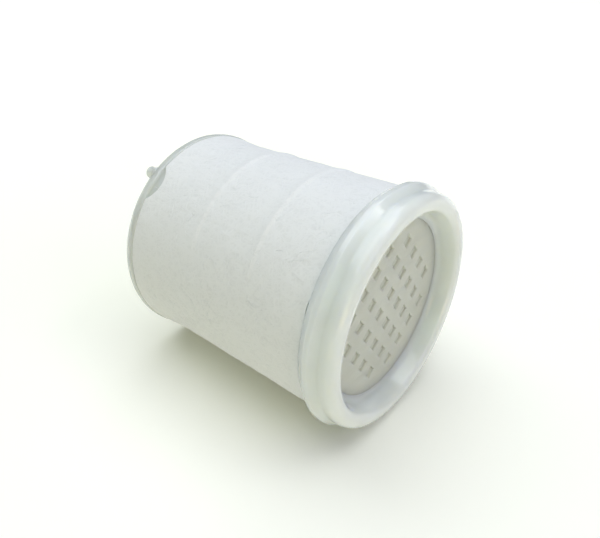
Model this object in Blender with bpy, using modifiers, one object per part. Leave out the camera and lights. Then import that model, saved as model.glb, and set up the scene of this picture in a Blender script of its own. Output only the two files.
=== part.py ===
"""Cartridge of a hand pump water filter, lying on its side as it rests on a table.

Metres, +Z up. The cartridge's axis runs along X with the mouth towards +X. The origin is on the
table, below the middle of the cartridge. Water enters through the felt wrap, passes the support
cage, the sediment sleeve and the carbon block, and leaves by the core tube, the polishing felt
and the strainer plate in the mouth.

Every piece is turned about its own +Z, which the parent empty lays along +X. Depths are measured
backwards from the mouth's front face, and outlines are lists of (radius, depth, fillet).
"""

import math

import bmesh
import bpy
from mathutils import Matrix, Vector

MM = 0.001
FULL_TURN = 2 * math.pi

# Clearance between pieces that touch or slide together.
GAP = 0.3 * MM

# Body: felt on a core that narrows slightly towards a waist and flares out to the end cap.
BODY_RADIUS = 23.3 * MM
BODY_LENGTH = 45.3 * MM
BODY_DRAFT = 0.9 * MM
FLARE_LENGTH = 7.2 * MM
REAR_FLARE = 0.45 * MM
FELT_THICKNESS = 1.0 * MM

# Mouth collar.
FLANGE_OVERHANG = 1.7 * MM
FLANGE_DEPTH = 7.6 * MM
FLANGE_WIDTH = 1.2 * MM
FLANGE_SLOPE = 1.7 * MM
SHOULDER_HEIGHT = 0.3 * MM
LIP_SETBACK = 1.0 * MM
LIP_DEPTH = 3.3 * MM
NOSE_FILLET = 2.4 * MM
BORE_INSET = 3.45 * MM
BELL_FLARE = 0.95 * MM
BELL_DEPTH = 3.2 * MM
COLLAR_SPIGOT_LENGTH = 5.4 * MM
COLLAR_SPIGOT_WALL = 1.1 * MM

# Strainer plate, with a square grid of holes that stays clear of its rim.
PLATE_DEPTH = 4.05 * MM
PLATE_THICKNESS = 1.6 * MM
LEDGE_WIDTH = 1.6 * MM
LEDGE_THICKNESS = 2.0 * MM
HOLE_PITCH = 4.73 * MM
HOLE_SIZE = 2.1 * MM
HOLE_MARGIN = 1.0 * MM
GRID_ANGLE = math.radians(37.8)

# Felt strips, side by side. The rear one fills what the other two leave of the body.
FRONT_STRIP_WIDTH = 13.85 * MM
MIDDLE_STRIP_WIDTH = 14.7 * MM
STRIP_SLIT = 0.4 * MM
STRIP_END_ANGLE = math.radians(137)
NOTCH_ANGLE = math.radians(129)
NOTCH_RADIUS = 5.0 * MM
NOTCH_REACH = 2.0 * MM
STEP_ANGLE = math.radians(154)
STEP_RADIUS = 9.0 * MM
STEP_REACH = 0.6 * MM

# End cap.
CAP_LENGTH = 2.6 * MM
CAP_PROUD = 0.2 * MM
CAP_FILLET = 2.0 * MM
CAP_RIM_WIDTH = 3.7 * MM
CAP_RECESS = 0.8 * MM
CAP_PLATE = 1.8 * MM
CAP_SPIGOT_LENGTH = 4.6 * MM
CAP_SPIGOT_WALL = 1.0 * MM
NUB_RADIUS = 1.2 * MM
NUB_LENGTH = 2.6 * MM
NUB_INSET = 2.1 * MM
NUB_ANGLE = math.radians(122.6)
GATE_RADIUS = 2.2 * MM
GATE_HEIGHT = 0.5 * MM

# Support cage.
CAGE_WALL = 1.7 * MM
CAGE_NECK_WALL = 1.1 * MM
CAGE_RING = 2.6 * MM
WINDOW_COLUMNS = 16
WINDOW_WIDTH = 5.0 * MM
GLUE_THICKNESS = 0.6 * MM

# Filter media and core.
CLOSURE_THICKNESS = 2.0 * MM
SLEEVE_THICKNESS = 1.5 * MM
CORE_RADIUS = 5.2 * MM
CORE_WALL = 1.2 * MM
CORE_SLOT_COLUMNS = 6
CORE_SLOT_ROWS = 4
CORE_SLOT_WIDTH = 1.8 * MM
CORE_SLOT_LENGTH = 6.0 * MM
SOCK_THICKNESS = 0.8 * MM
FELT_DISC_THICKNESS = 1.5 * MM
SEAL_THICKNESS = 1.4 * MM
SEAL_WIDTH = 3.2 * MM
PAD_THICKNESS = 4.2 * MM

# Roundness of the turned pieces.
OUTER_STEPS = 48
INNER_STEPS = 36
CORE_STEPS = 20
ARC_STEPS = 3

# Depths behind the mouth's front face.
FELT_START = FLANGE_DEPTH + GAP
FELT_END = FELT_START + BODY_LENGTH
WAIST = FELT_END - FLARE_LENGTH
FIRST_JOINT = FELT_START + FRONT_STRIP_WIDTH
SECOND_JOINT = FIRST_JOINT + GAP + MIDDLE_STRIP_WIDTH
CAP_START = FELT_END + GAP
CAP_END = CAP_START + CAP_LENGTH
CAP_OUTER_FACE = CAP_END - CAP_RECESS
CAP_INNER_FACE = CAP_OUTER_FACE - CAP_PLATE
CAP_SPIGOT_START = CAP_START - CAP_SPIGOT_LENGTH
PLATE_BACK = PLATE_DEPTH + PLATE_THICKNESS
LEDGE_START = PLATE_BACK + GAP
LEDGE_END = LEDGE_START + LEDGE_THICKNESS
COLLAR_SPIGOT_END = FLANGE_DEPTH + COLLAR_SPIGOT_LENGTH
CAGE_SHOULDER_FRONT = COLLAR_SPIGOT_END + GAP
CAGE_SHOULDER_REAR = CAP_SPIGOT_START - GAP
FRONT_GLUE_START = LEDGE_END + GAP
REAR_GLUE_START = CAP_INNER_FACE - GAP - GLUE_THICKNESS
SEAL_START = LEDGE_END + GAP
CLOSURE_START = SEAL_START + SEAL_THICKNESS + GAP
MEDIA_START = CLOSURE_START + CLOSURE_THICKNESS + GAP
PAD_START = CAP_INNER_FACE - GAP - PAD_THICKNESS
REAR_CLOSURE_START = PAD_START - GAP - CLOSURE_THICKNESS
MEDIA_END = REAR_CLOSURE_START - GAP


def felt_radius(depth):
    """Outer radius of the felt at this depth: a draft down to the waist, then a flare."""
    narrowed = BODY_DRAFT * min((depth - FELT_START) / (WAIST - FELT_START), 1)
    flared = REAR_FLARE * max((depth - WAIST) / FLARE_LENGTH, 0)
    return BODY_RADIUS - narrowed + flared


def backing_radius(depth):
    """Outer radius of whatever the felt is wound on at this depth."""
    return felt_radius(depth) - FELT_THICKNESS - GAP


# Radii that follow from the body.
FLANGE_RADIUS = BODY_RADIUS + FLANGE_OVERHANG
LIP_RADIUS = FLANGE_RADIUS - LIP_SETBACK
BORE_RADIUS = BODY_RADIUS - BORE_INSET
CREST_RADIUS = BORE_RADIUS + BELL_FLARE
LEDGE_RADIUS = BORE_RADIUS - LEDGE_WIDTH
CAP_RADIUS = felt_radius(FELT_END) + CAP_PROUD
CAP_RECESS_RADIUS = CAP_RADIUS - CAP_RIM_WIDTH
COLLAR_SPIGOT_INNER = backing_radius(COLLAR_SPIGOT_END) - COLLAR_SPIGOT_WALL
CAP_SPIGOT_INNER = backing_radius(CAP_SPIGOT_START) - CAP_SPIGOT_WALL
FRONT_NECK_RADIUS = COLLAR_SPIGOT_INNER - GAP
REAR_NECK_RADIUS = CAP_SPIGOT_INNER - GAP
NECK_INNER = min(FRONT_NECK_RADIUS, REAR_NECK_RADIUS) - CAGE_NECK_WALL
CLOSURE_RADIUS = NECK_INNER - GAP
SLEEVE_INNER = CLOSURE_RADIUS - SLEEVE_THICKNESS
SOCK_INNER = CORE_RADIUS + GAP
BLOCK_INNER = SOCK_INNER + SOCK_THICKNESS + GAP

# Where the cartridge lies: the flange's lowest flat touches the table.
TOTAL_LENGTH = CAP_END + NUB_LENGTH
AXIS_HEIGHT = FLANGE_RADIUS * math.cos(math.pi / OUTER_STEPS)
MOUTH_X = TOTAL_LENGTH / 2


def clear_scene():
    for item in list(bpy.data.objects):
        bpy.data.objects.remove(item)


def new_collection(name):
    collection = bpy.data.collections.new(name)
    bpy.context.scene.collection.children.link(collection)
    return collection


def material(name, color, roughness, metallic=0.0, transmission=0.0):
    """A Principled material."""
    made = bpy.data.materials.new(name)
    made.use_nodes = True
    made.diffuse_color = (*color, 1.0)
    shader = made.node_tree.nodes["Principled BSDF"]
    shader.inputs["Base Color"].default_value = (*color, 1.0)
    shader.inputs["Roughness"].default_value = roughness
    shader.inputs["Metallic"].default_value = metallic
    shader.inputs["Transmission Weight"].default_value = transmission
    return made


def add_object(name, mesh, look):
    """A piece of the cartridge, parented to the empty that lays it on its side."""
    piece = bpy.data.objects.new(name, mesh)
    piece.data.materials.append(look)
    piece.parent = AXIS
    PARTS.objects.link(piece)
    return piece


def fillet_points(before, corner, after, radius, first_share, second_share):
    """Points of the arc that rounds a corner, within its shares of the two edges."""
    first = before - corner
    second = after - corner
    half = first.angle(second) / 2
    room = min(first_share * first.length, second_share * second.length)
    reach = min(radius / math.tan(half), 0.98 * room)
    arc_radius = reach * math.tan(half)
    first.normalize()
    second.normalize()
    centre = corner + (first + second).normalized() * (arc_radius / math.sin(half))
    start = corner + first * reach - centre
    end = corner + second * reach - centre
    turn = start.angle(end)
    points = []
    for index in range(ARC_STEPS + 1):
        share = index / ARC_STEPS
        mixed = start * math.sin((1 - share) * turn) + end * math.sin(share * turn)
        points.append(centre + mixed / math.sin(turn))
    return points


def rounded(outline):
    """Points (radius, depth) of an outline whose corners have fillets.

    Two fillets on one edge share it in the ratio of their radii.
    """
    points = []
    for index, (radius, depth, fillet) in enumerate(outline):
        corner = Vector((radius, depth))
        if fillet == 0:
            points.append(corner)
            continue
        before = outline[index - 1]
        after = outline[(index + 1) % len(outline)]
        before_share = fillet / (fillet + before[2])
        after_share = fillet / (fillet + after[2])
        before_corner = Vector(before[:2])
        after_corner = Vector(after[:2])
        points.extend(
            fillet_points(before_corner, corner, after_corner, fillet, before_share, after_share)
        )
    return points


def turned(name, outline, look, steps):
    """A solid of revolution. The outline runs backwards along its outer side.

    An outline that starts on the axis also ends there, and makes a solid disc.
    """
    on_axis = outline[0][0] == 0
    points = rounded(outline)
    half_step = math.pi / steps
    mesh = bpy.data.meshes.new(name)
    bm = bmesh.new()
    verts = []
    for radius, depth in points:
        across = radius * math.cos(half_step)
        along = radius * math.sin(half_step)
        verts.append(bm.verts.new((across, along, -depth)))
    for first, second in zip(verts, verts[1:]):
        bm.edges.new((first, second))
    if not on_axis:
        bm.edges.new((verts[-1], verts[0]))
    bm.to_mesh(mesh)
    bm.free()
    piece = add_object(name, mesh, look)
    screw = piece.modifiers.new("turn", "SCREW")
    screw.axis = "Z"
    screw.angle = FULL_TURN
    screw.steps = steps
    screw.render_steps = steps
    screw.use_merge_vertices = True
    screw.merge_threshold = 0.00005
    screw.use_smooth_shade = False
    return piece


def turned_ring(name, inner, outer, start, end, look, steps):
    """A plain ring with square corners."""
    outline = [(outer, start, 0), (outer, end, 0), (inner, end, 0), (inner, start, 0)]
    return turned(name, outline, look, steps)


def turned_disc(name, radius, start, end, look, steps):
    """A plain solid disc."""
    outline = [(0, start, 0), (radius, start, 0), (radius, end, 0), (0, end, 0)]
    return turned(name, outline, look, steps)


def outward(angle, radius, depth):
    """The point at this distance from the axis. The angle runs from +Y up towards +Z."""
    return Vector((-radius * math.sin(angle), radius * math.cos(angle), -depth))


def add_cutter(name, shapes):
    """A mesh of separate boxes or cylinders, kept out of the model.

    Each shape is (kind, size, place, angle): its first size points away from the axis.
    """
    mesh = bpy.data.meshes.new(name)
    bm = bmesh.new()
    for kind, size, place, angle in shapes:
        turn = Matrix.Rotation(angle + math.pi / 2, 4, "Z")
        spot = Matrix.Translation(place) @ turn @ Matrix.Diagonal((*size, 1.0))
        if kind == "box":
            bmesh.ops.create_cube(bm, size=1.0, matrix=spot)
        else:
            lay = Matrix.Rotation(math.pi / 2, 4, "Y")
            bmesh.ops.create_cone(
                bm, cap_ends=True, segments=INNER_STEPS, radius1=0.5, radius2=0.5, depth=1.0,
                matrix=spot @ lay,
            )
    bm.to_mesh(mesh)
    bm.free()
    cutter = bpy.data.objects.new(name, mesh)
    cutter.parent = AXIS
    cutter.hide_render = True
    cutter.display_type = "WIRE"
    CUTTERS.objects.link(cutter)
    return cutter


def combine(piece, other, operation):
    boolean = piece.modifiers.new(other.name, "BOOLEAN")
    boolean.operation = operation
    boolean.solver = "EXACT"
    boolean.object = other


def make_mouth_collar():
    """Translucent moulding: rounded lip, a flange behind it, plate ledge and spigot."""
    flange_end = FLANGE_DEPTH - FLANGE_SLOPE
    flange_start = flange_end - FLANGE_WIDTH
    shoulder = felt_radius(FLANGE_DEPTH) + SHOULDER_HEIGHT
    outline = [
        (LIP_RADIUS, 0, NOSE_FILLET),
        (LIP_RADIUS, LIP_DEPTH, 0.4 * MM),
        (FLANGE_RADIUS, flange_start, 0.6 * MM),
        (FLANGE_RADIUS, flange_end, 0.6 * MM),
        (shoulder, FLANGE_DEPTH, 0.5 * MM),
        (backing_radius(FLANGE_DEPTH), FLANGE_DEPTH, 0),
        (backing_radius(COLLAR_SPIGOT_END), COLLAR_SPIGOT_END, 0),
        (COLLAR_SPIGOT_INNER, COLLAR_SPIGOT_END, 0),
        (COLLAR_SPIGOT_INNER, LEDGE_END, 0),
        (LEDGE_RADIUS, LEDGE_END, 0),
        (LEDGE_RADIUS, LEDGE_START, 0),
        (BORE_RADIUS, LEDGE_START, 0),
        (BORE_RADIUS, BELL_DEPTH, 0.8 * MM),
        (CREST_RADIUS, 0, 0.5 * MM),
    ]
    return turned("mouth_collar", outline, MILKY, OUTER_STEPS)


def strainer_holes():
    """A square grid of square holes: those that lie wholly inside the ledge, less a margin."""
    usable = LEDGE_RADIUS - HOLE_MARGIN
    half_count = int((usable - HOLE_SIZE / 2) / HOLE_PITCH + 0.5)
    middle = half_count - 0.5
    half_diagonal = HOLE_SIZE / math.sqrt(2)
    size = (HOLE_SIZE, HOLE_SIZE, 3 * PLATE_THICKNESS)
    plate_middle = Vector((0, 0, -(PLATE_DEPTH + PLATE_THICKNESS / 2)))
    shapes = []
    for row in range(2 * half_count):
        for column in range(2 * half_count):
            along = outward(GRID_ANGLE, (row - middle) * HOLE_PITCH, 0)
            across = outward(GRID_ANGLE + math.pi / 2, (column - middle) * HOLE_PITCH, 0)
            place = along + across
            if place.length + half_diagonal <= usable:
                shapes.append(("box", size, place + plate_middle, GRID_ANGLE))
    return shapes


def make_strainer_plate():
    """Flat moulded plate across the mouth, held against the collar's ledge."""
    radius = BORE_RADIUS - GAP
    plate = turned_disc("strainer_plate", radius, PLATE_DEPTH, PLATE_BACK, MILKY, OUTER_STEPS)
    combine(plate, add_cutter("strainer_holes", strainer_holes()), "DIFFERENCE")
    return plate


def make_felt_strip(name, start, end):
    """One strip of needled felt, wound once round so that its ends nearly meet."""
    depths = [start, WAIST, end] if start < WAIST < end else [start, end]
    outer = [(felt_radius(depth), depth, 0) for depth in depths]
    inner = [(felt_radius(depth) - FELT_THICKNESS, depth, 0) for depth in reversed(depths)]
    strip = turned(name, outer + inner, FELT, OUTER_STEPS)
    size = (4 * FELT_THICKNESS, STRIP_SLIT, end - start + 2 * MM)
    place = outward(STRIP_END_ANGLE, felt_radius(start), (start + end) / 2)
    slit = add_cutter(name + "_slit", [("box", size, place, STRIP_END_ANGLE)])
    combine(strip, slit, "DIFFERENCE")
    return strip


def trim_strip(strip, name, angle, edge, radius, reach):
    """Takes a shallow round bite out of a strip's edge. A reach below zero comes from behind."""
    centre_depth = edge + math.copysign(radius, reach) - reach
    size = (8 * FELT_THICKNESS, 2 * radius, 2 * radius)
    place = outward(angle, felt_radius(edge), centre_depth)
    combine(strip, add_cutter(name, [("cylinder", size, place, angle)]), "DIFFERENCE")


def make_felt_wrap():
    """The three strips. The front one steps back at its end and the rear one has a notch."""
    front = make_felt_strip("felt_strip_front", FELT_START, FIRST_JOINT)
    trim_strip(front, "front_step", STEP_ANGLE, FELT_START, STEP_RADIUS, -STEP_REACH)
    make_felt_strip("felt_strip_middle", FIRST_JOINT + GAP, SECOND_JOINT)
    rear = make_felt_strip("felt_strip_rear", SECOND_JOINT + GAP, FELT_END)
    trim_strip(rear, "rear_notch", NOTCH_ANGLE, FELT_END, NOTCH_RADIUS, NOTCH_REACH)


def make_nub():
    """Short round pip moulded on the cap's rim, with a domed end."""
    root = CAP_END - CAP_PLATE
    tip = CAP_END + NUB_LENGTH
    mesh = bpy.data.meshes.new("nub")
    bm = bmesh.new()
    place = Matrix.Translation(outward(NUB_ANGLE, CAP_RADIUS - NUB_INSET, (root + tip) / 2))
    bmesh.ops.create_cone(
        bm, cap_ends=True, segments=CORE_STEPS, radius1=NUB_RADIUS, radius2=NUB_RADIUS,
        depth=tip - root, matrix=place,
    )
    rim = [edge for edge in bm.edges if all(vert.co.z < -CAP_END for vert in edge.verts)]
    bmesh.ops.bevel(
        bm, geom=rim, offset=0.8 * NUB_RADIUS, segments=ARC_STEPS, profile=0.5, affect="EDGES",
    )
    bm.to_mesh(mesh)
    bm.free()
    nub = bpy.data.objects.new("nub", mesh)
    nub.parent = AXIS
    nub.hide_render = True
    nub.display_type = "WIRE"
    CUTTERS.objects.link(nub)
    return nub


def make_end_cap():
    """Translucent moulded cap with a rounded rim, a recessed end and one pip."""
    gate_face = CAP_OUTER_FACE + GATE_HEIGHT
    outline = [
        (0, CAP_INNER_FACE, 0),
        (CAP_SPIGOT_INNER, CAP_INNER_FACE, 0),
        (CAP_SPIGOT_INNER, CAP_SPIGOT_START, 0),
        (backing_radius(CAP_SPIGOT_START), CAP_SPIGOT_START, 0),
        (backing_radius(CAP_START), CAP_START, 0),
        (CAP_RADIUS, CAP_START, 0.4 * MM),
        (CAP_RADIUS, CAP_END, CAP_FILLET),
        (CAP_RECESS_RADIUS + CAP_RECESS / 2, CAP_END, 0.3 * MM),
        (CAP_RECESS_RADIUS, CAP_OUTER_FACE, 0),
        (GATE_RADIUS, CAP_OUTER_FACE, 0),
        (GATE_RADIUS, gate_face, 0),
        (0, gate_face, 0),
    ]
    cap = turned("end_cap", outline, MILKY, OUTER_STEPS)
    combine(cap, make_nub(), "UNION")
    return cap


def cage_window_rows():
    """Start and end depth of each row of windows, clear of the rings under the felt's joints."""
    half_ring = CAGE_RING / 2
    return [
        (CAGE_SHOULDER_FRONT + CAGE_RING, FIRST_JOINT - half_ring),
        (FIRST_JOINT + half_ring, SECOND_JOINT - half_ring),
        (SECOND_JOINT + half_ring, CAGE_SHOULDER_REAR - CAGE_RING),
    ]


def make_support_cage():
    """Windowed tube that carries the felt. Its two necks plug into the collar and the cap."""
    front_outer = backing_radius(CAGE_SHOULDER_FRONT)
    waist_outer = backing_radius(WAIST)
    rear_outer = backing_radius(CAGE_SHOULDER_REAR)
    neck_start = FRONT_GLUE_START + GLUE_THICKNESS + GAP
    neck_end = REAR_GLUE_START - GAP
    front_inner_shoulder = CAGE_SHOULDER_FRONT + CAGE_WALL
    rear_inner_shoulder = CAGE_SHOULDER_REAR - CAGE_WALL
    outline = [
        (FRONT_NECK_RADIUS, neck_start, 0),
        (FRONT_NECK_RADIUS, CAGE_SHOULDER_FRONT, 0),
        (front_outer, CAGE_SHOULDER_FRONT, 0),
        (waist_outer, WAIST, 0),
        (rear_outer, CAGE_SHOULDER_REAR, 0),
        (REAR_NECK_RADIUS, CAGE_SHOULDER_REAR, 0),
        (REAR_NECK_RADIUS, neck_end, 0),
        (NECK_INNER, neck_end, 0),
        (NECK_INNER, rear_inner_shoulder, 0),
        (waist_outer - CAGE_WALL, rear_inner_shoulder, 0),
        (front_outer - CAGE_WALL, front_inner_shoulder, 0),
        (NECK_INNER, front_inner_shoulder, 0),
        (NECK_INNER, neck_start, 0),
    ]
    cage = turned("support_cage", outline, CAGE_PLASTIC, OUTER_STEPS)
    shapes = []
    for start, end in cage_window_rows():
        size = (4 * CAGE_WALL, WINDOW_WIDTH, end - start)
        for column in range(WINDOW_COLUMNS):
            angle = FULL_TURN * column / WINDOW_COLUMNS
            place = outward(angle, backing_radius(start), (start + end) / 2)
            shapes.append(("box", size, place, angle))
    combine(cage, add_cutter("cage_windows", shapes), "DIFFERENCE")
    return cage


def make_glue_rings():
    """Adhesive at the foot of the cage's two push-in joints."""
    front_end = FRONT_GLUE_START + GLUE_THICKNESS
    rear_end = REAR_GLUE_START + GLUE_THICKNESS
    turned_ring(
        "front_glue_ring", NECK_INNER, FRONT_NECK_RADIUS, FRONT_GLUE_START, front_end, GLUE,
        INNER_STEPS,
    )
    turned_ring(
        "rear_glue_ring", NECK_INNER, REAR_NECK_RADIUS, REAR_GLUE_START, rear_end, GLUE,
        INNER_STEPS,
    )


def make_outlet_end():
    """Polishing felt behind the strainer, and the ring that seals the block's front closure."""
    felt_end = LEDGE_START + FELT_DISC_THICKNESS
    turned_disc("polishing_felt", LEDGE_RADIUS - GAP, LEDGE_START, felt_end, FELT, INNER_STEPS)
    turned_ring(
        "block_seal", CLOSURE_RADIUS - SEAL_WIDTH, CLOSURE_RADIUS, SEAL_START,
        SEAL_START + SEAL_THICKNESS, FOAM, INNER_STEPS,
    )


def make_closures():
    """Cast end closures of the carbon block: the front one is open at the core."""
    turned_ring(
        "front_closure", SOCK_INNER, CLOSURE_RADIUS, CLOSURE_START,
        CLOSURE_START + CLOSURE_THICKNESS, RESIN, INNER_STEPS,
    )
    turned_disc(
        "rear_closure", CLOSURE_RADIUS, REAR_CLOSURE_START,
        REAR_CLOSURE_START + CLOSURE_THICKNESS, RESIN, INNER_STEPS,
    )


def make_core():
    """Slotted outlet tube on the axis, with the fine sock around it."""
    core = turned_ring(
        "core_tube", CORE_RADIUS - CORE_WALL, CORE_RADIUS, CLOSURE_START, MEDIA_END,
        CAGE_PLASTIC, CORE_STEPS,
    )
    pitch = (MEDIA_END - MEDIA_START) / CORE_SLOT_ROWS
    size = (3 * CORE_WALL, CORE_SLOT_WIDTH, CORE_SLOT_LENGTH)
    shapes = []
    for row in range(CORE_SLOT_ROWS):
        depth = MEDIA_START + (row + 0.5) * pitch
        for column in range(CORE_SLOT_COLUMNS):
            angle = FULL_TURN * (column + 0.5 * (row % 2)) / CORE_SLOT_COLUMNS
            place = outward(angle, CORE_RADIUS - CORE_WALL / 2, depth)
            shapes.append(("box", size, place, angle))
    combine(core, add_cutter("core_slots", shapes), "DIFFERENCE")
    turned_ring(
        "core_sock", SOCK_INNER, SOCK_INNER + SOCK_THICKNESS, MEDIA_START, MEDIA_END, FELT,
        CORE_STEPS,
    )


def make_media():
    """Carbon block round the core, and the sediment sleeve round the block."""
    turned_ring(
        "carbon_block", BLOCK_INNER, SLEEVE_INNER - GAP, MEDIA_START, MEDIA_END, CARBON,
        INNER_STEPS,
    )
    turned_ring(
        "sediment_sleeve", SLEEVE_INNER, CLOSURE_RADIUS, MEDIA_START, MEDIA_END, FELT,
        INNER_STEPS,
    )


def make_compression_pad():
    """Foam disc that presses the block forwards onto its seal."""
    turned_disc(
        "compression_pad", CLOSURE_RADIUS - GAP, PAD_START, PAD_START + PAD_THICKNESS, FOAM,
        INNER_STEPS,
    )


clear_scene()
PARTS = new_collection("pump_water_filter")
CUTTERS = new_collection("cutters")

AXIS = bpy.data.objects.new("cartridge_axis", None)
AXIS.location = (MOUTH_X, 0, AXIS_HEIGHT)
AXIS.rotation_euler = (0, math.pi / 2, 0)
PARTS.objects.link(AXIS)

MILKY = material("milky_plastic", (0.80, 0.84, 0.83), 0.28, transmission=0.25)
FELT = material("white_felt", (0.86, 0.88, 0.88), 0.92)
CAGE_PLASTIC = material("cage_plastic", (0.78, 0.80, 0.78), 0.45)
GLUE = material("glue", (0.80, 0.76, 0.62), 0.35)
FOAM = material("foam", (0.25, 0.26, 0.27), 0.95)
RESIN = material("resin", (0.70, 0.68, 0.60), 0.40)
CARBON = material("carbon", (0.03, 0.03, 0.03), 0.90)

make_mouth_collar()
make_strainer_plate()
make_felt_wrap()
make_end_cap()
make_support_cage()
make_glue_rings()
make_outlet_end()
make_closures()
make_core()
make_media()
make_compression_pad()
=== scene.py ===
import math
import random

import bmesh
import bpy
from mathutils import Matrix, Vector, noise


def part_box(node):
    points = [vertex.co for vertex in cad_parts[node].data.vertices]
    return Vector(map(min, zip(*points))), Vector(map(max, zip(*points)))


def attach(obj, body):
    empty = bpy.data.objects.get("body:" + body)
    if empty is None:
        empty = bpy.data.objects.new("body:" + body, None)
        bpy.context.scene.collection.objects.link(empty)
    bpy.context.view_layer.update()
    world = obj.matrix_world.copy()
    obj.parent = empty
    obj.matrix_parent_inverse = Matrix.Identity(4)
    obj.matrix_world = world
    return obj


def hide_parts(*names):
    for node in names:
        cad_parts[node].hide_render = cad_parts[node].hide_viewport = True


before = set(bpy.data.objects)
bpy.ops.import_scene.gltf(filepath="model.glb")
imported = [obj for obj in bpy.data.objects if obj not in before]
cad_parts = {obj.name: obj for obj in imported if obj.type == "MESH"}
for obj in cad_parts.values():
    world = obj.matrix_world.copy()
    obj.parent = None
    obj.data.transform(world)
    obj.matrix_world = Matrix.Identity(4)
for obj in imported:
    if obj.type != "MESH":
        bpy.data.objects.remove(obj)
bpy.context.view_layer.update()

MM = 0.001
FULL_TURN = 2 * math.pi

# Places read from the frame. Depths run backwards from the mouth's front face, in millimetres.
COLLAR_LOW, COLLAR_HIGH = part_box("mouth_collar")
MOUTH_X = COLLAR_HIGH.x
AXIS_Z = (COLLAR_LOW.z + COLLAR_HIGH.z) / 2
FLANGE_RADIUS = (COLLAR_HIGH.z - COLLAR_LOW.z) / 2 / MM


def depth_of(x):
    """Depth behind the mouth's front face, in millimetres."""
    return (MOUTH_X - x) / MM


def node_span(node):
    """Front and rear depth of a CAD node."""
    low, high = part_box(node)
    return depth_of(high.x), depth_of(low.x)


def node_radius(node):
    """Outer radius of a CAD node."""
    low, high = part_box(node)
    return (high.z - low.z) / 2 / MM


FRONT_STRIP = node_span("felt_strip_front")
MIDDLE_STRIP = node_span("felt_strip_middle")
REAR_STRIP = node_span("felt_strip_rear")
PLATE_SPAN = node_span("strainer_plate")
FELT_DISC_SPAN = node_span("polishing_felt")
CAP_SPIGOT_START, NUB_TIP = node_span("end_cap")
COLLAR_END = node_span("mouth_collar")[1]
BODY_RADIUS = node_radius("felt_strip_front")
FELT_DISC_RADIUS = node_radius("polishing_felt")

# Felt, in millimetres.
FELT_THICKNESS = 1.0
BODY_DRAFT = 0.9
FLARE_LENGTH = 7.2
REAR_FLARE = 0.45
STRIP_END_ANGLE = math.radians(137)
CREASE_DEPTH = 0.03
CREASE_WIDTH = 0.3
NOTCH_ANGLE = math.radians(129)
NOTCH_RADIUS = 5.0
NOTCH_REACH = 2.0
STEP_ANGLE = math.radians(154)
STEP_RADIUS = 9.0
STEP_REACH = 0.25
CUT_UNEVENNESS = 0.1
CUT_RAGGEDNESS = 12
SEAM_PEAK = math.radians(100)
SEAM_FADE = 3.0
SEAM_RISE = 0.3
SEAM_REAR_WIDTH = 1.3
SEAM_FRONT_WIDTH = 0.5
EDGE_ROLL = 0.012
EDGE_ROLL_WIDTH = 0.3
# Each kind of lump: its spacing and its height.
SOFT_LUMPS = (9, 0.10)
MIDDLE_LUMPS = (2.6, 0.05)
FINE_LUMPS = (0.9, 0.03)
BACKING_GAP = 0.3
LAND_DROP = 0.3
LAND_CLEARANCE = 0.02
COLLAR_LAND = 1.4
CAP_LAND = 2.7

# Loose fibres, in millimetres.
FIBRE_COUNT = 900
FIBRE_SEED = 11
FIBRE_SIDES = 3
FIBRE_STEP = 0.5
THIN_FIBRE = 0.014
THICK_FIBRE = 0.026
LOWEST_FIBRE = -0.006
HIGHEST_FIBRE = 0.016
FEWEST_FIBRE_RINGS = 6
MOST_FIBRE_RINGS = 14
FIBRE_BEND = 0.25
FIBRE_WANDER = 0.18
FIBRE_END_MARGIN = 1
FIBRE_STOP_MARGIN = 0.5

# Collar, in millimetres.
FLANGE_DEPTH = 7.6
FLANGE_WIDTH = 1.0
FLANGE_SLOPE = 1.9
SHOULDER_HEIGHT = 0.3
LIP_SETBACK = 1.0
LIP_DEPTH = 3.1
BORE_INSET = 3.45
BELL_FLARE = 1.0
COVE = 1.5
LEDGE_WIDTH = 1.6
LEDGE_THICKNESS = 2.0
SPIGOT_WALL = 1.1
LIP_FILLET = 2.4
LIP_FOOT_FILLET = 1.2
FLANGE_FILLET = 0.6
SHOULDER_FILLET = 0.5
MOUTH_FILLET = 1.5
SPIGOT_FILLET = 0.15
LAND_FILLET = 0.05
LEDGE_FILLET = 0.1

# Strainer grid, in millimetres.
HOLE_PITCH = 4.73
HOLE_SIZE = 2.1
HOLE_CORNER = 0.3
HOLES_ACROSS = 6
GRID_ANGLE = math.radians(37.8)
PLATE_EDGE = 0.3
PLATE_OVERLAP = 0.05
PLUG_RECESS = 0.45
PLUG_SIZE = 2.06
PLUG_HEIGHT = FELT_DISC_SPAN[0] - PLATE_SPAN[0] - PLUG_RECESS
# Shares of a plug's height, and its width there.
PLUG_STEPS = ((0, PLUG_SIZE), (0.9, PLUG_SIZE), (0.97, 1.96), (1, 1.7))
DISC_UNEVENNESS = 0.08
DISC_LUMP_SPACING = 1.5

# End cap, in millimetres.
CAP_LENGTH = 2.6
CAP_GAP = 0.3
CAP_PROUD = 0.2
CAP_TOUCH = 0.6
CAP_RIM_WIDTH = 3.7
CAP_RECESS = 0.8
CAP_PLATE = 1.8
CAP_SPIGOT_WALL = 1.0
NUB_RADIUS = 1.3
NUB_INSET = 2.1
NUB_ANGLE = math.radians(122.6)
NUB_ROOT_DEPTH = 1.2
NUB_ROOT_FLARE = 0.9
NUB_THROAT_DEPTH = 0.15
NUB_THROAT_FLARE = 0.35
NUB_NECK_START = 0.4
NUB_DOME_SHARE = 0.65
GATE_RADIUS = 2.2
GATE_HEIGHT = 0.5
GATE_TAPER = 0.2
CAP_EDGE_FILLET = 0.4
CAP_RIM_FILLET = 2.0
CAP_CUP_FILLET = 0.3

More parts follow.
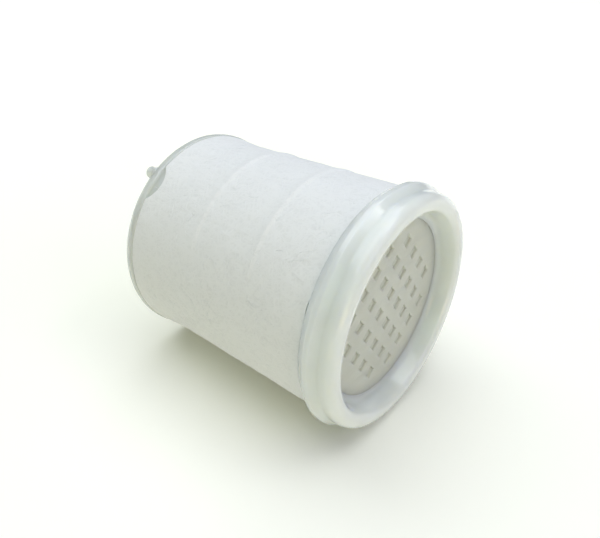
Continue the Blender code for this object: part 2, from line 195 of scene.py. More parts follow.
# Fineness of the meshes.
ROUND_STEPS = 240
FILLET_STEPS = 8
STRIP_ROW = 0.26
STRIP_COLUMNS = 560
STRIP_INNER_ROWS = 24
PIP_STEPS = 32
PIP_DOME_STEPS = 8
OUTLINE_STEPS = 160
DISC_RINGS = 40

WAIST = REAR_STRIP[1] - FLARE_LENGTH

# Camera, from the mouth's centre, in metres.
CAMERA_OFFSET = Vector((0.04163, -0.08386, 0.06822))
CAMERA_AZIMUTH = math.radians(39.15)
CAMERA_ELEVATION = math.radians(32.03)
CAMERA_LENS = 35.82
CAMERA_SHIFT = 0.0031

# Studio, in metres.
FLOOR_HALF_WIDTH = 3
FLOOR_CLEARANCE = 0.00003
NEAR_GLOW = 0.06
FAR_GLOW = 0.9
NEAR_GLOW_RADIUS = 0.05
FAR_GLOW_RADIUS = 1.2
WORLD_LIGHT = 0.03
WORLD_BACKDROP = 0.95


def felt_radius(depth):
    """Outer radius of the felt before its lumps: a draft down to the waist, then a flare."""
    narrowed = BODY_DRAFT * min((depth - FRONT_STRIP[0]) / (WAIST - FRONT_STRIP[0]), 1)
    flared = REAR_FLARE * smooth_step((depth - WAIST) / FLARE_LENGTH)
    return BODY_RADIUS - narrowed + flared


def smooth_step(value):
    """An ease from 0 to 1, level at both ends."""
    value = min(max(value, 0), 1)
    return value * value * (3 - 2 * value)


def backing_radius(depth):
    """Outer radius of the spigots that the felt covers."""
    return felt_radius(depth) - FELT_THICKNESS - BACKING_GAP


def felt_inner_radius(depth):
    """Inner radius of the felt, which thins out where it lies on the collar's and the cap's land."""
    on_collar = depth < FLANGE_DEPTH + COLLAR_LAND
    on_cap = depth > REAR_STRIP[1] - CAP_LAND
    if on_collar or on_cap:
        return felt_radius(depth) - LAND_DROP + LAND_CLEARANCE
    return felt_radius(depth) - FELT_THICKNESS


def point(depth, radius, angle):
    """The point at this depth and distance from the axis. The angle runs from +Y up to +Z."""
    across = radius * MM * math.cos(angle)
    up = radius * MM * math.sin(angle)
    return Vector((MOUTH_X - depth * MM, across, AXIS_Z + up))


# ---------------------------------------------------------------- mesh tools


def arc_points(before, corner, after, radius, first_share, second_share, count):
    """Points of the fillet at a corner, which keeps to its share of the two sides."""
    first = before - corner
    second = after - corner
    half = first.angle(second) / 2
    room = min(first_share * first.length, second_share * second.length)
    reach = min(radius / math.tan(half), 0.98 * room)
    arc_radius = reach * math.tan(half)
    first.normalize()
    second.normalize()
    centre = corner + (first + second).normalized() * (arc_radius / math.sin(half))
    start = corner + first * reach - centre
    end = corner + second * reach - centre
    turn = start.angle(end)
    points = []
    for index in range(count + 1):
        share = index / count
        mixed = start * math.sin((1 - share) * turn) + end * math.sin(share * turn)
        points.append(centre + mixed / math.sin(turn))
    return points


def rounded(outline, count=FILLET_STEPS):
    """(depth, radius) points of an outline of (radius, depth, fillet) corners."""
    points = []
    for index, (radius, depth, fillet) in enumerate(outline):
        corner = Vector((radius, depth))
        if fillet == 0:
            points.append(corner)
            continue
        before = outline[index - 1]
        after = outline[(index + 1) % len(outline)]
        before_share = fillet / (fillet + before[2])
        after_share = fillet / (fillet + after[2])
        points.extend(
            arc_points(
                Vector(before[:2]), corner, Vector(after[:2]), fillet,
                before_share, after_share, count,
            )
        )
    return [(found.y, found.x) for found in points]


def add_piece(name, bm, material, nodes=()):
    """A finished piece from a bmesh, riding on the cartridge's one body."""
    mesh = bpy.data.meshes.new(name)
    bmesh.ops.recalc_face_normals(bm, faces=bm.faces)
    bm.to_mesh(mesh)
    bm.free()
    mesh.shade_smooth()
    mesh.materials.append(material)
    piece = bpy.data.objects.new(name, mesh)
    bpy.context.scene.collection.objects.link(piece)
    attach(piece, "root")
    if nodes:
        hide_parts(*nodes)
    return piece


def stitch(bm, rings, closed=False):
    """Faces between each ring and the next. A ring can be a single vertex."""
    pairs = list(zip(rings, rings[1:]))
    if closed:
        pairs.append((rings[-1], rings[0]))
    for first, second in pairs:
        steps = max(len(first), len(second))
        for column in range(steps):
            after = (column + 1) % steps
            if len(first) == 1:
                bm.faces.new((first[0], second[column], second[after]))
            elif len(second) == 1:
                bm.faces.new((first[column], second[0], first[after]))
            else:
                bm.faces.new((first[column], second[column], second[after], first[after]))


def spin(bm, points, steps=ROUND_STEPS):
    """Turns (depth, radius) points about the axis. A point of radius 0 becomes one vertex."""
    rings = []
    for depth, radius in points:
        if radius == 0:
            rings.append([bm.verts.new(point(depth, 0, 0))])
            continue
        angles = [FULL_TURN * column / steps for column in range(steps)]
        rings.append([bm.verts.new(point(depth, radius, angle)) for angle in angles])
    stitch(bm, rings, closed=len(rings[0]) > 1)


# ---------------------------------------------------------------- materials


class Shader:
    """A Principled material that is built up node by node."""

    def __init__(self, name):
        self.material = bpy.data.materials.new(name)
        self.material.use_nodes = True
        self.tree = self.material.node_tree
        self.shader = self.tree.nodes["Principled BSDF"]
        self.place = self.node("ShaderNodeTexCoord").outputs["Object"]

    def node(self, kind, **settings):
        made = self.tree.nodes.new(kind)
        for key, value in settings.items():
            setattr(made, key, value)
        return made

    def link(self, source, target):
        self.tree.links.new(source, target)

    def set(self, **values):
        for key, value in values.items():
            self.shader.inputs[key.replace("_", " ")].default_value = value

    def mapped(self, scale, rotation=(0, 0, 0), source=None):
        mapping = self.node("ShaderNodeMapping")
        mapping.inputs["Scale"].default_value = scale
        mapping.inputs["Rotation"].default_value = rotation
        self.link(source or self.place, mapping.inputs["Vector"])
        return mapping.outputs["Vector"]

    def noise(self, scale, detail=4, roughness=0.55, vector=None, distortion=0.0):
        made = self.node("ShaderNodeTexNoise")
        made.inputs["Scale"].default_value = scale
        made.inputs["Detail"].default_value = detail
        made.inputs["Roughness"].default_value = roughness
        made.inputs["Distortion"].default_value = distortion
        self.link(vector or self.place, made.inputs["Vector"])
        return made.outputs["Fac"]

    def ramp(self, source, stops):
        made = self.node("ShaderNodeValToRGB")
        elements = made.color_ramp.elements
        while len(elements) < len(stops):
            elements.new(0.5)
        for element, (position, color) in zip(elements, stops):
            element.position = position
            element.color = color if len(color) == 4 else (*color, 1)
        self.link(source, made.inputs["Fac"])
        return made.outputs["Color"]

    def math(self, operation, first, second):
        made = self.node("ShaderNodeMath", operation=operation)
        for socket, value in zip(made.inputs, (first, second)):
            if isinstance(value, (int, float)):
                socket.default_value = value
            else:
                self.link(value, socket)
        return made.outputs[0]

    def range(self, source, low, high, start=0.0, end=1.0):
        made = self.node("ShaderNodeMapRange")
        made.inputs["From Min"].default_value = start
        made.inputs["From Max"].default_value = end
        made.inputs["To Min"].default_value = low
        made.inputs["To Max"].default_value = high
        self.link(source, made.inputs["Value"])
        return made.outputs[0]

    def bump(self, height, distance, strength=1.0, under=None):
        made = self.node("ShaderNodeBump")
        made.inputs["Distance"].default_value = distance
        made.inputs["Strength"].default_value = strength
        self.link(height, made.inputs["Height"])
        if under:
            self.link(under, made.inputs["Normal"])
        return made.outputs["Normal"]

    def to(self, socket, source):
        self.link(source, self.shader.inputs[socket])


def grey(value):
    return (value, value, value)


def milky_plastic(name, light, dark, roughness=0.3):
    """Translucent moulded polyethylene: cloudy, with a soft gloss and faint flow marks."""
    made = Shader(name)
    cloud = made.noise(90, 3)
    made.to("Base Color", made.ramp(cloud, [(0.3, dark), (0.7, light)]))
    grain = made.noise(900, 3)
    made.to("Roughness", made.range(grain, roughness - 0.03, roughness + 0.05))
    flow = made.noise(260, 2, vector=made.mapped((1, 0.35, 0.35)))
    ripple = made.bump(flow, 0.00006, 0.5)
    made.to("Normal", made.bump(grain, 0.000012, 0.4, under=ripple))
    made.set(Subsurface_Weight=0.9, Subsurface_Radius=(1.0, 0.95, 0.8), Subsurface_Scale=0.006)
    made.set(IOR=1.5, Coat_Weight=0.1, Coat_Roughness=0.08)
    return made.material


def wrapped_place(made):
    """Coordinates unrolled from the body: along the axis, and round it at the felt's radius."""
    split = made.node("ShaderNodeSeparateXYZ")
    made.link(made.place, split.inputs[0])
    up = made.math("SUBTRACT", split.outputs["Z"], AXIS_Z)
    turn = made.math("ARCTAN2", split.outputs["Y"], up)
    unrolled = made.math("MULTIPLY", turn, BODY_RADIUS * MM)
    joined = made.node("ShaderNodeCombineXYZ")
    made.link(split.outputs["X"], joined.inputs["X"])
    made.link(unrolled, joined.inputs["Y"])
    return joined.outputs[0]


def fibre_mat(made, vector, angles, scale=1900, stretch=0.16):
    """Height of many long thin fibres that lie across each other in these directions."""
    total = None
    for index, angle in enumerate(angles):
        turned = made.mapped((1, 1, 1), (0, 0, math.radians(angle)), vector)
        bent = made.mapped((stretch, 1, 1), (0, 0, 0), turned)
        strands = made.noise(scale + 130 * index, 2, 0.5, bent, 0.6)
        thin = made.ramp(strands, [(0.5, grey(0)), (0.62, grey(1)), (0.74, grey(0.2))])
        total = thin if total is None else made.math("MAXIMUM", total, thin)
    return total


def felt_cloth(name, light, dark, unrolled=True):
    """Needled white felt: fibres in all directions over soft lumps."""
    made = Shader(name)
    vector = wrapped_place(made) if unrolled else made.mapped((1, 1, 1), (0, math.pi / 2, 0))
    strands = fibre_mat(made, vector, (12, 63, 118, 159))
    mounds = made.noise(420, 3)
    tone = made.math("MULTIPLY", made.math("ADD", strands, mounds), 0.5)
    made.to("Base Color", made.ramp(tone, [(0.2, dark), (0.6, light)]))
    made.to("Roughness", made.range(strands, 0.95, 0.8))
    soft = made.bump(mounds, 0.00018, 0.5)
    made.to("Normal", made.bump(strands, 0.00003, 0.5, under=soft))
    made.set(Subsurface_Weight=0.08, Subsurface_Radius=(1.0, 1.0, 0.9), Subsurface_Scale=0.0005)
    made.set(Sheen_Weight=0.15, Sheen_Roughness=0.6)
    return made.material


def grained(name, light, dark, scale, roughness, depth):
    """A material with a grain of this scale, for the sealed pieces."""
    made = Shader(name)
    grain = made.noise(scale, 5)
    made.to("Base Color", made.ramp(grain, [(0.3, dark), (0.7, light)]))
    made.to("Roughness", made.range(grain, roughness - 0.08, roughness + 0.08))
    made.to("Normal", made.bump(grain, depth, 0.6))
    return made.material


MILKY = milky_plastic("milky_plastic", (0.70, 0.735, 0.71), (0.66, 0.695, 0.67), 0.12)
# The cap is the same milky plastic, darkened all over as painted shade for the band at its rim.
SHADED_CAP_PLASTIC = milky_plastic("shaded_cap_plastic", (0.65, 0.68, 0.625), (0.61, 0.64, 0.585), 0.2)
# The strainer is the same milky plastic, darkened and tinted olive as painted shade deep in the
# mouth.
SHADED_STRAINER = milky_plastic("strainer_plastic", (0.575, 0.59, 0.505), (0.545, 0.56, 0.475), 0.4)
FELT = felt_cloth("white_felt", (0.775, 0.785, 0.76), (0.735, 0.745, 0.72))
# Pale felt coloured darker and olive: painted shade for the recess behind the strainer and its
# holes. The hidden sock and sleeve share it.
SHADED_INNER_FELT = felt_cloth("inner_felt", (0.52, 0.54, 0.46), (0.47, 0.49, 0.41), unrolled=False)
FIBRE = felt_cloth("loose_fibre", (0.82, 0.84, 0.84), (0.76, 0.78, 0.78))


# ---------------------------------------------------------------- pieces


def cove_points(bore, plate_front, count=FILLET_STEPS):
    """The concave corner between the plate and the mouth's wall."""
    points = []
    for index in range(1, count):
        angle = math.pi / 2 * index / count
        radius = bore - COVE + COVE * math.sin(angle)
        points.append((radius, plate_front - COVE + COVE * math.cos(angle), 0))
    return points


def make_collar():
    """The moulded mouth: rounded lip, flange, land under the felt, spigot, ledge and bell wall."""
    flange_end = FLANGE_DEPTH - FLANGE_SLOPE
    flange_start = flange_end - FLANGE_WIDTH
    lip = FLANGE_RADIUS - LIP_SETBACK
    bore = BODY_RADIUS - BORE_INSET
    ledge_start = FELT_DISC_SPAN[0]
    ledge_end = ledge_start + LEDGE_THICKNESS
    spigot_inner = backing_radius(COLLAR_END) - SPIGOT_WALL
    land_end = FLANGE_DEPTH + COLLAR_LAND
    outline = [
        (lip, 0, LIP_FILLET),
        (lip, LIP_DEPTH, LIP_FOOT_FILLET),
        (FLANGE_RADIUS, flange_start, FLANGE_FILLET),
        (FLANGE_RADIUS, flange_end, FLANGE_FILLET),
        (BODY_RADIUS + SHOULDER_HEIGHT, FLANGE_DEPTH, SHOULDER_FILLET),
        (felt_radius(FLANGE_DEPTH) - LAND_DROP, FLANGE_DEPTH, 0),
        (felt_radius(land_end) - LAND_DROP, land_end, LAND_FILLET),
        (backing_radius(land_end), land_end, 0),
        (backing_radius(COLLAR_END), COLLAR_END, SPIGOT_FILLET),
        (spigot_inner, COLLAR_END, SPIGOT_FILLET),
        (spigot_inner, ledge_end, 0),
        (bore - LEDGE_WIDTH, ledge_end, LEDGE_FILLET),
        (bore - LEDGE_WIDTH, ledge_start, 0),
        (bore - COVE, ledge_start, 0),
        (bore - COVE, PLATE_SPAN[0], 0),
        *cove_points(bore, PLATE_SPAN[0]),
        (bore + BELL_FLARE, 0, MOUTH_FILLET),
    ]
    bm = bmesh.new()
    spin(bm, rounded(outline))
    add_piece("collar", bm, MILKY, ["mouth_collar"])


def make_cap():
    """The end cap: a cup under the felt, a rounded rim and a recessed face with a gate mark."""
    cap_start = REAR_STRIP[1]
    cap_end = cap_start + CAP_GAP + CAP_LENGTH
    outer_face = cap_end - CAP_RECESS
    inner_face = outer_face - CAP_PLATE
    rim = felt_radius(REAR_STRIP[1]) + CAP_PROUD
    recess = rim - CAP_RIM_WIDTH
    spigot = backing_radius(CAP_SPIGOT_START)
    land_start = cap_start - CAP_LAND
    outline = [
        (0, inner_face, 0),
        (spigot - CAP_SPIGOT_WALL, inner_face, CAP_CUP_FILLET),
        (spigot - CAP_SPIGOT_WALL, CAP_SPIGOT_START, SPIGOT_FILLET),
        (spigot, CAP_SPIGOT_START, SPIGOT_FILLET),
        (backing_radius(land_start), land_start, 0),
        (felt_radius(land_start) - LAND_DROP, land_start, LAND_FILLET),
        (felt_radius(cap_start) - LAND_DROP, cap_start, 0),
        (rim, cap_start, CAP_EDGE_FILLET),
        (rim, cap_end, CAP_RIM_FILLET),
        (recess + CAP_RECESS / 2, cap_end, CAP_EDGE_FILLET),
        (recess, outer_face, CAP_EDGE_FILLET),
        (GATE_RADIUS, outer_face, GATE_TAPER),
        (GATE_RADIUS - GATE_TAPER, outer_face + GATE_HEIGHT, GATE_TAPER),
        (0, outer_face + GATE_HEIGHT, 0),
    ]
    bm = bmesh.new()
    spin(bm, rounded(outline))
    add_piece("cap", bm, SHADED_CAP_PLASTIC, ["end_cap"])
    make_pip(cap_end, rim - NUB_INSET)


def make_pip(cap_end, offset):
    """The moulded pip: a flared root, a short neck and a domed end, turned about its own axis."""
    root = cap_end - NUB_ROOT_DEPTH
    profile = [
        (0, root),
        (NUB_RADIUS + NUB_ROOT_FLARE, root),
        (NUB_RADIUS + NUB_THROAT_FLARE, cap_end - NUB_THROAT_DEPTH),
        (NUB_RADIUS, cap_end + NUB_NECK_START),
    ]
    neck = NUB_TIP - NUB_RADIUS * NUB_DOME_SHARE
    for index in range(PIP_DOME_STEPS + 1):
        angle = math.pi / 2 * index / PIP_DOME_STEPS
        rise = NUB_RADIUS * NUB_DOME_SHARE * math.sin(angle)
        profile.append((NUB_RADIUS * math.cos(angle), neck + rise))
    centre = point(0, offset, NUB_ANGLE)
    bm = bmesh.new()
    rings = []
    for radius, depth in profile:
        along = Vector((-depth * MM, 0, 0))
        if radius < 0.01:
            rings.append([bm.verts.new(centre + along)])
            continue
        ring = []
        for column in range(PIP_STEPS):
            angle = FULL_TURN * column / PIP_STEPS
            across = Vector((0, radius * MM * math.cos(angle), radius * MM * math.sin(angle)))
            ring.append(bm.verts.new(centre + across + along))
        rings.append(ring)
    stitch(bm, rings)
    add_piece("cap_pip", bm, SHADED_CAP_PLASTIC)


def around(angle, centre):
    """Signed distance round the body from a centre angle, in millimetres."""
    turned = (angle - centre + math.pi) % FULL_TURN - math.pi
    return turned * BODY_RADIUS


def bite(angle, centre, radius, reach):
    """How far a shallow round bite cuts into a strip's edge at this angle."""
    distance = abs(around(angle, centre))
    if distance >= radius:
        return 0
    return max(reach - radius + math.sqrt(radius * radius - distance * distance), 0)


def ragged(angle, seed):
    """Small unevenness of a cut edge."""
    place = Vector((math.cos(angle), math.sin(angle), seed)) * CUT_RAGGEDNESS
    return CUT_UNEVENNESS * noise.noise(place)


def seam_height(angle):
    """Seams stand highest on top of the body and fade out round the sides."""
    share = math.cos((angle - SEAM_PEAK) / 2) ** 2
    return smooth_step(share * SEAM_FADE - (SEAM_FADE - 1))


def lumps(depth, angle):
    """Unevenness of the felt, in millimetres."""
    place = point(depth, BODY_RADIUS, angle) / MM
    soft = noise.noise(place / SOFT_LUMPS[0])
    middle = noise.noise(place / MIDDLE_LUMPS[0] + Vector((7, 0, 0)))
    fine = noise.noise(place / FINE_LUMPS[0] + Vector((0, 13, 0)))
    return SOFT_LUMPS[1] * soft + MIDDLE_LUMPS[1] * middle + FINE_LUMPS[1] * fine


def make_strip(name, node, start, end, rises, start_cut=None, end_cut=None):
    """One felt strip, whose front and rear edges rise to a low ridge where it meets a neighbour."""
    rows = int((end - start) / STRIP_ROW)
    bm = bmesh.new()
    rings = []
    edges = []
    for column in range(STRIP_COLUMNS):
        angle = FULL_TURN * column / STRIP_COLUMNS
        first = start + (start_cut(angle) + ragged(angle, start) if start_cut else 0)
        last = end - (end_cut(angle) + ragged(angle, end) if end_cut else 0)
        showing = seam_height(angle)
        edges.append((angle, first, last, showing))
    for row in range(rows + 1):
        share = row / rows
        ring = []
        for angle, first, last, showing in edges:
            depth = first + (last - first) * share
            height = lumps(depth, angle)
            height += rises[0] * showing * math.exp(-(((depth - first) / SEAM_REAR_WIDTH) ** 2))
            height += rises[1] * showing * math.exp(-(((last - depth) / SEAM_FRONT_WIDTH) ** 2))
            height -= rolled(depth - first, EDGE_ROLL * showing)
            height -= rolled(last - depth, EDGE_ROLL * showing)
            crease = around(angle, STRIP_END_ANGLE)
            height -= CREASE_DEPTH * math.exp(-((crease / CREASE_WIDTH) ** 2))
            ring.append(bm.verts.new(point(depth, felt_radius(depth) + height, angle)))
        rings.append(ring)
    for row in range(STRIP_INNER_ROWS + 1):
        share = 1 - row / STRIP_INNER_ROWS
        ring = []
        for angle, first, last, _ in edges:
            depth = first + (last - first) * share
            ring.append(bm.verts.new(point(depth, felt_inner_radius(depth), angle)))
        rings.append(ring)
    stitch(bm, rings, closed=True)
    strip = add_piece(name, bm, FELT, [node])
    strip.data.set_sharp_from_angle(angle=math.radians(50))


def rolled(distance, drop):
    """How far a strip's face drops on its way round a soft edge, at this distance from it."""
    share = max(1 - distance / EDGE_ROLL_WIDTH, 0)
    return drop * (1 - math.sqrt(1 - share * share))


def make_felt():
    """Three strips that meet edge to edge between the collar and the cap."""
    first_seam = (FRONT_STRIP[1] + MIDDLE_STRIP[0]) / 2
    second_seam = (MIDDLE_STRIP[1] + REAR_STRIP[0]) / 2
    make_strip(
        "front_felt", "felt_strip_front", FLANGE_DEPTH, first_seam, (0, SEAM_RISE),
        start_cut=lambda angle: bite(angle, STEP_ANGLE, STEP_RADIUS, STEP_REACH),
    )
    rises = (SEAM_RISE, SEAM_RISE)
    make_strip("middle_felt", "felt_strip_middle", first_seam, second_seam, rises)
    make_strip(
        "rear_felt", "felt_strip_rear", second_seam, REAR_STRIP[1], (SEAM_RISE, 0),
        end_cut=lambda angle: bite(angle, NOTCH_ANGLE, NOTCH_RADIUS, NOTCH_REACH),
    )


def make_fibres():
    """Loose fibres that lie curled on the felt."""
    draw = random.Random(FIBRE_SEED)
    bm = bmesh.new()
    front = FRONT_STRIP[0]
    rear = REAR_STRIP[1]
    for _ in range(FIBRE_COUNT):
        angle = draw.uniform(0, FULL_TURN)
        depth = draw.uniform(front + FIBRE_END_MARGIN, rear - FIBRE_END_MARGIN)
        heading = draw.uniform(0, FULL_TURN)
        bend = draw.gauss(0, FIBRE_BEND)
        thickness = draw.uniform(THIN_FIBRE, THICK_FIBRE)
        lift = draw.uniform(LOWEST_FIBRE, HIGHEST_FIBRE)
        rings = []
        for _ in range(draw.randint(FEWEST_FIBRE_RINGS, MOST_FIBRE_RINGS)):
            radius = felt_radius(depth) + lumps(depth, angle) + lift
            middle = point(depth, radius, angle)
            out = point(depth, radius + 1, angle) - middle
            out.normalize()
            along = Vector((-math.cos(heading), 0, 0))
            side = Vector((0, -math.sin(angle), math.cos(angle))) * math.sin(heading)
            forward = (along + side).normalized()
            across = out.cross(forward)
            ring = []
            for corner in range(FIBRE_SIDES):
                turn = FULL_TURN * corner / FIBRE_SIDES
                offset = out * math.cos(turn) + across * math.sin(turn)
                ring.append(bm.verts.new(middle + offset * thickness * MM))
            rings.append(ring)
            heading += bend + draw.gauss(0, FIBRE_WANDER)
            depth += FIBRE_STEP * math.cos(heading)
            angle += FIBRE_STEP * math.sin(heading) / BODY_RADIUS
            if not front + FIBRE_STOP_MARGIN < depth < rear - FIBRE_STOP_MARGIN:
                break
        bm.faces.new(rings[0][::-1])
        stitch(bm, rings)
        bm.faces.new(rings[-1])
    add_piece("loose_fibres", bm, FIBRE)


def rounded_square(centre, size, turn, corner=HOLE_CORNER, steps=4):
    """Points of a small square hole with rounded corners, in the plate's own plane."""
    half = size / 2 - corner
    points = []
    for quarter, (across, up) in enumerate([(1, 1), (-1, 1), (-1, -1), (1, -1)]):
        for index in range(steps + 1):
            angle = math.pi / 2 * (quarter + index / steps)
            x = across * half + corner * math.cos(angle)
            y = up * half + corner * math.sin(angle)
            points.append(
                (
                    centre[0] + x * math.cos(turn) - y * math.sin(turn),
                    centre[1] + x * math.sin(turn) + y * math.cos(turn),
                )
            )
    return points


def add_spline(curve, points):
    """A closed outline of points in millimetres."""
    spline = curve.splines.new("POLY")
    spline.points.add(len(points) - 1)
    for found, (x, y) in zip(spline.points, points):
        found.co = (x * MM, y * MM, 0, 1)
    spline.use_cyclic_u = True


def hole_centres():
    """Centres of the square grid of holes, which leaves its four corners out."""
    middle = (HOLES_ACROSS - 1) / 2
    corners = (0, HOLES_ACROSS - 1)
    centres = []
    for row in range(HOLES_ACROSS):
        for column in range(HOLES_ACROSS):
            if row in corners and column in corners:
                continue
            x = (row - middle) * HOLE_PITCH
            y = (column - middle) * HOLE_PITCH
            across = x * math.cos(GRID_ANGLE) - y * math.sin(GRID_ANGLE)
            up = x * math.sin(GRID_ANGLE) + y * math.cos(GRID_ANGLE)
            centres.append((across, up))
    return centres


def make_strainer():
    """The plate as a filled outline with softened edges, stood across the axis."""
    thickness = PLATE_SPAN[1] - PLATE_SPAN[0]
    curve = bpy.data.curves.new("strainer", "CURVE")
    curve.dimensions = "2D"
    curve.fill_mode = "BOTH"
    curve.extrude = (thickness / 2 - PLATE_EDGE) * MM
    curve.bevel_depth = PLATE_EDGE * MM
    curve.bevel_resolution = 3
    rim = BODY_RADIUS - BORE_INSET - COVE + PLATE_OVERLAP
    outer = [FULL_TURN * index / OUTLINE_STEPS for index in range(OUTLINE_STEPS)]
    add_spline(curve, [(rim * math.cos(angle), rim * math.sin(angle)) for angle in outer])
    for centre in hole_centres():
        add_spline(curve, rounded_square(centre, HOLE_SIZE + 2 * PLATE_EDGE, GRID_ANGLE))
    stand_in = bpy.data.objects.new("strainer_outline", curve)
    bpy.context.scene.collection.objects.link(stand_in)
    graph = bpy.context.evaluated_depsgraph_get()
    mesh = bpy.data.meshes.new_from_object(stand_in.evaluated_get(graph))
    bpy.data.objects.remove(stand_in)
    bm = bmesh.new()
    bm.from_mesh(mesh)
    bmesh.ops.remove_doubles(bm, verts=bm.verts, dist=0.000001)
    # The outline's X and Y become the object's Y and Z, so its own Z points out of the mouth.
    axes = Matrix(((0, 0, 1, 0), (1, 0, 0, 0), (0, 1, 0, 0), (0, 0, 0, 1)))
    middle_x = MOUTH_X - (PLATE_SPAN[0] + PLATE_SPAN[1]) / 2 * MM
    placing = Matrix.Translation((middle_x, 0, AXIS_Z)) @ axes
    bmesh.ops.transform(bm, matrix=placing, verts=bm.verts)
    plate = add_piece("strainer", bm, SHADED_STRAINER, ["strainer_plate"])
    plate.data.set_sharp_from_angle(angle=math.radians(40))


def add_felt_plug(bm, centre, start):
    """The felt that is pressed into one hole, as a low soft plug."""
    rings = []
    for share, size in PLUG_STEPS:
        depth = start - share * PLUG_HEIGHT
        outline = rounded_square(centre, size, GRID_ANGLE)
        rings.append([bm.verts.new(spot(depth, *place)) for place in outline])
    stitch(bm, rings)
    bm.faces.new(rings[-1])
    bm.faces.new(rings[0][::-1])


def spot(depth, across, up):
    """The point at this depth, and this far across and up from the axis."""
    return Vector((MOUTH_X - depth * MM, across * MM, AXIS_Z + up * MM))


def make_felt_disc():
    """The pale felt right behind the strainer, with a plug pressed into each hole, coloured darker
    and olive as painted shade for the recess.
    """
    start, end = FELT_DISC_SPAN
    points = [(start, 0)]
    for index in range(1, DISC_RINGS + 1):
        points.append((start, FELT_DISC_RADIUS * index / DISC_RINGS))
    points += [(end, FELT_DISC_RADIUS), (end, 0)]
    bm = bmesh.new()
    spin(bm, points, OUTLINE_STEPS)
    for centre in hole_centres():
        add_felt_plug(bm, centre, start)
    for vert in bm.verts:
        bump = noise.noise(vert.co / MM / DISC_LUMP_SPACING)
        vert.co.x += DISC_UNEVENNESS * MM * bump
    disc = add_piece("felt_disc", bm, SHADED_INNER_FELT, ["polishing_felt"])


def dress_sealed_nodes():
    """Materials of the pieces that the cartridge hides."""
    cage = grained("cage_plastic", (0.82, 0.84, 0.82), (0.74, 0.76, 0.74), 300, 0.42, 0.00003)
    glue = grained("glue", (0.84, 0.79, 0.62), (0.70, 0.64, 0.46), 200, 0.3, 0.00008)
    foam = grained("foam", (0.30, 0.31, 0.32), (0.10, 0.10, 0.11), 1600, 0.9, 0.0002)
    resin = grained("resin", (0.74, 0.72, 0.63), (0.62, 0.60, 0.50), 120, 0.35, 0.00005)
    carbon = grained("carbon", (0.06, 0.06, 0.06), (0.01, 0.01, 0.01), 1400, 0.85, 0.0002)
    looks = {
        "support_cage": cage, "core_tube": cage, "front_glue_ring": glue,
        "rear_glue_ring": glue, "block_seal": foam, "compression_pad": foam,
        "front_closure": resin, "rear_closure": resin, "carbon_block": carbon,
        "core_sock": SHADED_INNER_FELT, "sediment_sleeve": SHADED_INNER_FELT,
    }
    for node, look in looks.items():
        for material_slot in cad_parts[node].material_slots:
            material_slot.material = look


# ---------------------------------------------------------------- stage


def make_camera():
    """A camera that sees the mouth at the lower right and the cap at the upper left."""
    camera = bpy.data.objects.new("camera", bpy.data.cameras.new("camera"))
    bpy.context.scene.collection.objects.link(camera)
    camera.data.lens = CAMERA_LENS
    camera.data.shift_x = CAMERA_SHIFT
    camera.data.shift_y = -CAMERA_SHIFT
    camera.data.sensor_width = 36
    camera.data.clip_start = 0.005
    level = math.cos(CAMERA_ELEVATION)
    back_x = math.sin(CAMERA_AZIMUTH) * level
    back_y = -math.cos(CAMERA_AZIMUTH) * level
    back = Vector((back_x, back_y, math.sin(CAMERA_ELEVATION)))
    camera.location = Vector((MOUTH_X, 0, AXIS_Z)) + CAMERA_OFFSET
    camera.rotation_mode = "QUATERNION"
    camera.rotation_quaternion = back.to_track_quat("Z", "Y")
    bpy.context.scene.camera = camera


def make_floor():
    """A pale floor, tilted so that the flange and the narrower end cap both rest on it."""
    touch_front = FLANGE_DEPTH - FLANGE_SLOPE
    touch_rear = REAR_STRIP[1] + CAP_GAP + CAP_TOUCH
    rim = felt_radius(REAR_STRIP[1]) + CAP_PROUD
    slope = math.atan2(FLANGE_RADIUS - rim, touch_rear - touch_front)
    bm = bmesh.new()
    bmesh.ops.create_grid(bm, x_segments=8, y_segments=8, size=FLOOR_HALF_WIDTH)
    mesh = bpy.data.meshes.new("floor")
    bm.to_mesh(mesh)
    bm.free()
    floor = bpy.data.objects.new("floor", mesh)
    top = AXIS_Z - FLANGE_RADIUS * MM - FLOOR_CLEARANCE
    floor.location = (MOUTH_X - touch_front * MM, 0, top)
    floor.rotation_euler = (0, slope, 0)
    mesh.materials.append(floor_look())
    bpy.context.scene.collection.objects.link(floor)


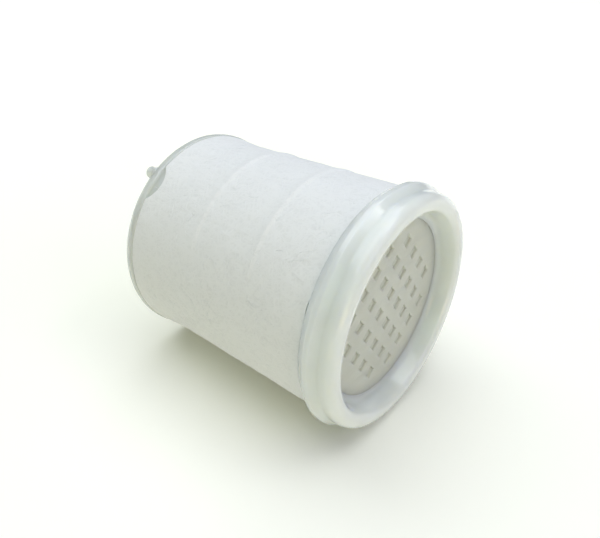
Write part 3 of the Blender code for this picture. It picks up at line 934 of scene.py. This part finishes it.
def floor_look():
    """A pale matt floor, which glows more the further it is from the object."""
    made = Shader("floor")
    made.set(Base_Color=(0.94, 0.935, 0.83, 1), Roughness=0.9, Specular_IOR_Level=0.1)
    made.set(Emission_Color=(1, 1, 0.95, 1))
    distance = made.node("ShaderNodeVectorMath", operation="LENGTH")
    made.link(made.place, distance.inputs[0])
    glow = made.range(
        distance.outputs["Value"], NEAR_GLOW, FAR_GLOW, NEAR_GLOW_RADIUS, FAR_GLOW_RADIUS
    )
    made.to("Emission Strength", glow)
    return made.material


def add_area_light(name, place, target, size, power, color):
    """A rectangular lamp that faces a target."""
    light = bpy.data.lights.new(name, "AREA")
    light.shape = "RECTANGLE"
    light.size, light.size_y = size
    light.energy = power
    light.color = color
    lamp = bpy.data.objects.new(name, light)
    lamp.location = place
    lamp.rotation_mode = "QUATERNION"
    lamp.rotation_quaternion = (Vector(target) - Vector(place)).to_track_quat("-Z", "Y")
    bpy.context.scene.collection.objects.link(lamp)


def make_lights():
    """A broad cool light from above, weaker ones in front, and a pale backdrop."""
    middle = (0, 0, AXIS_Z)
    add_area_light("key", (0.315, 0.21, 0.60), middle, (0.24, 0.06), 0.25, (1.0, 1.0, 1.0))
    add_area_light("front", (0.50, 0.08, 0.42), middle, (0.5, 0.5), 1.05, (0.69, 0.66, 1.0))
    add_area_light("top", (-0.10, 0.05, 0.80), middle, (1.0, 1.0), 8.3, (0.91, 0.95, 1.0))
    add_area_light("fill", (0.55, -0.55, 0.45), middle, (0.5, 0.5), 0.6, (0.6, 1.0, 0.7))
    add_area_light("low", (0.62, -0.42, 0.07), middle, (0.4, 0.3), 1.2, (1.0, 0.78, 0.42))
    world = bpy.data.worlds.new("studio")
    world.use_nodes = True
    background = world.node_tree.nodes["Background"]
    background.inputs["Color"].default_value = (0.95, 1.0, 0.9, 1)
    seen = world.node_tree.nodes.new("ShaderNodeLightPath")
    backdrop = world.node_tree.nodes.new("ShaderNodeMapRange")
    backdrop.inputs["To Min"].default_value = WORLD_LIGHT
    backdrop.inputs["To Max"].default_value = WORLD_BACKDROP
    world.node_tree.links.new(seen.outputs["Is Camera Ray"], backdrop.inputs["Value"])
    world.node_tree.links.new(backdrop.outputs["Result"], background.inputs["Strength"])
    bpy.context.scene.world = world
    bpy.context.scene.view_settings.view_transform = "Standard"


make_camera()
make_collar()
make_cap()
make_felt()
make_fibres()
make_strainer()
make_felt_disc()
dress_sealed_nodes()
make_floor()
make_lights()
